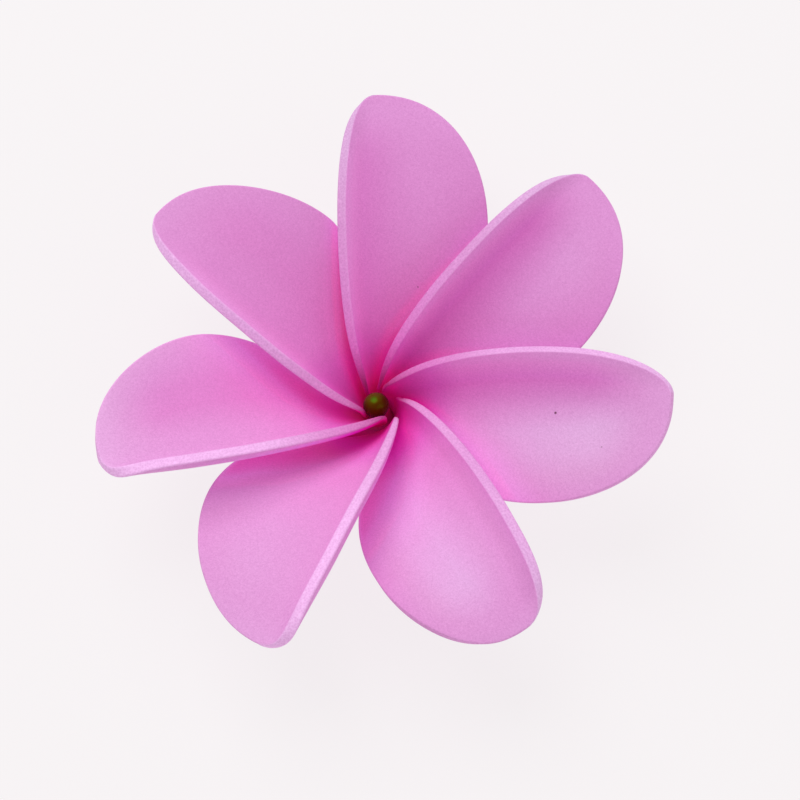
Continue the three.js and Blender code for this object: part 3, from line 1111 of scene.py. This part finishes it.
class TIARE_OT_close_back(bpy.types.Operator):
    """Closes the back of the flower with its foam disc"""

    bl_idname = "tiare.close_back"
    bl_label = "Close back"

    def execute(self, context):
        settings = context.scene.tiare
        sizes = settings.centre
        _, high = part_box("backing_disc")
        edge = high.x
        ease = sizes.disc_ease
        outline = [
            (0, 0),
            (edge - ease, 0),
            (edge, ease),
            (edge, high.z - ease),
            (edge - ease, high.z),
            (sizes.socket_radius, high.z),
            (sizes.socket_radius, sizes.disc_skin),
            (0, sizes.disc_skin),
        ]
        mesh = turned_mesh("backing_disc", rounded_profile(outline), DISC_SEGMENTS)
        mesh.materials.append(disc_foam(settings.colours))
        hand_over("disc", mesh, "backing_disc")
        return {"FINISHED"}


# --- Stage ---

FLOOR_DIFFUSE = 0.15  # share of the floor's colour that answers to the lights
FLOOR_GLOW = 0.86
FLOOR_HALF = 1.2
SOFTBOXES = (  # name, place, side, watts
    ("window_softbox", (-0.25, 0.45, 0.75), 0.7, 4.7),
    ("fill_softbox", (0.5, -0.4, 0.6), 0.8, 1.2),
)
STUDIO_LIGHT = 0.47
CAMERA_TILT = math.radians(15.7)
CAMERA_DISTANCE = 0.45
CAMERA_TARGET = Vector((3.75, 0.3, 12)) * MM
FIELD_WIDTH = 0.144  # shown at the target's distance
SENSOR_WIDTH = 36
CLIP_START = 0.01


def floor_finish(colours):
    """A pale table that glows like paper on a light box, so shadows on it stay faint."""
    return new_material(
        "floor_paper",
        Base_Color=[FLOOR_DIFFUSE * part for part in colours.floor],
        Roughness=0.9,
        Specular_IOR_Level=0.1,
        Emission_Color=colours.floor,
        Emission_Strength=FLOOR_GLOW,
    )[0]


def add_softbox(name, place, size, watts):
    light = bpy.data.lights.new(name, "AREA")
    light.shape = "SQUARE"
    light.size = size
    light.energy = watts
    lamp = new_object(name, light)
    lamp.location = place
    lamp.rotation_euler = (-Vector(place)).to_track_quat("-Z", "Y").to_euler()


class TIARE_OT_set_stage(bpy.types.Operator):
    """Sets up the floor, soft light and camera"""

    bl_idname = "tiare.set_stage"
    bl_label = "Set stage"

    def execute(self, context):
        scene = context.scene
        colours = scene.tiare.colours
        corners = [(x * FLOOR_HALF, y * FLOOR_HALF, 0) for x, y in ((-1, -1), (1, -1), (1, 1), (-1, 1))]
        mesh = bpy.data.meshes.new("floor")
        mesh.from_pydata(corners, [], [(0, 1, 2, 3)])
        mesh.materials.append(floor_finish(colours))
        new_object("floor", mesh)

        for softbox in SOFTBOXES:
            add_softbox(*softbox)
        world = bpy.data.worlds.new("studio")
        world.use_nodes = True
        background = world.node_tree.nodes["Background"]
        background.inputs["Color"].default_value = (1, 1, 1, 1)
        background.inputs["Strength"].default_value = STUDIO_LIGHT
        scene.world = world

        back = Vector((0, -math.sin(CAMERA_TILT), math.cos(CAMERA_TILT)))
        lens = bpy.data.cameras.new("camera")
        lens.sensor_width = SENSOR_WIDTH
        lens.lens = SENSOR_WIDTH * CAMERA_DISTANCE / FIELD_WIDTH
        lens.clip_start = CLIP_START
        camera = new_object("camera", lens)
        camera.location = CAMERA_TARGET + back * CAMERA_DISTANCE
        camera.rotation_euler = (-back).to_track_quat("-Z", "Y").to_euler()
        scene.camera = camera
        scene.view_settings.view_transform = "Standard"
        return {"FINISHED"}


class TIARE_PT_sidebar(bpy.types.Panel):
    """Lists the flower's steps and settings"""

    bl_idname = "TIARE_PT_sidebar"
    bl_label = "Foam tiare flower"
    bl_space_type = "VIEW_3D"
    bl_region_type = "UI"
    bl_category = "Tiare"

    def draw(self, context):
        settings = context.scene.tiare
        for step in STEPS:
            self.layout.operator(step.bl_idname)
        for group in (settings.sheet, settings.centre, settings.colours):
            for prop in own_properties(type(group)):
                self.layout.prop(group, prop.identifier)


GROUPS = (PetalSheet, PetalForm, CentreSizes, FlowerColours, TiareSettings)
STEPS = (
    TIARE_OT_set_stage,
    TIARE_OT_close_back,
    TIARE_OT_glue_core,
    TIARE_OT_lead_wire,
    TIARE_OT_set_bead,
    TIARE_OT_form_petals,
)
CLASSES = (*GROUPS, *STEPS, TIARE_PT_sidebar)


def register():
    for cls in CLASSES:
        bpy.utils.register_class(cls)
    bpy.types.Scene.tiare = bpy.props.PointerProperty(type=TiareSettings)


def unregister():
    del bpy.types.Scene.tiare
    for cls in reversed(CLASSES):
        bpy.utils.unregister_class(cls)


def fill_petal_forms(settings):
    """Copies the values of the hand-formed petals and their painted light and shade into the settings,
    in the units that they hold.
    """
    for number, values in enumerate(zip(*PETAL_FORMS.values()), start=1):
        form = settings.petals.add()
        form.seed = number * 10
        for key, value in zip(PETAL_FORMS, values):
            subtype = PetalForm.bl_rna.properties[key].subtype
            unit = {"ANGLE": math.radians(1), "DISTANCE": MM}.get(subtype, 1)
            setattr(form, key, value * unit)


def main():
    register()
    fill_petal_forms(bpy.context.scene.tiare)
    for step in STEPS:
        area, name = step.bl_idname.split(".")
        getattr(getattr(bpy.ops, area), name)()


if __name__ == "__main__":
    main()
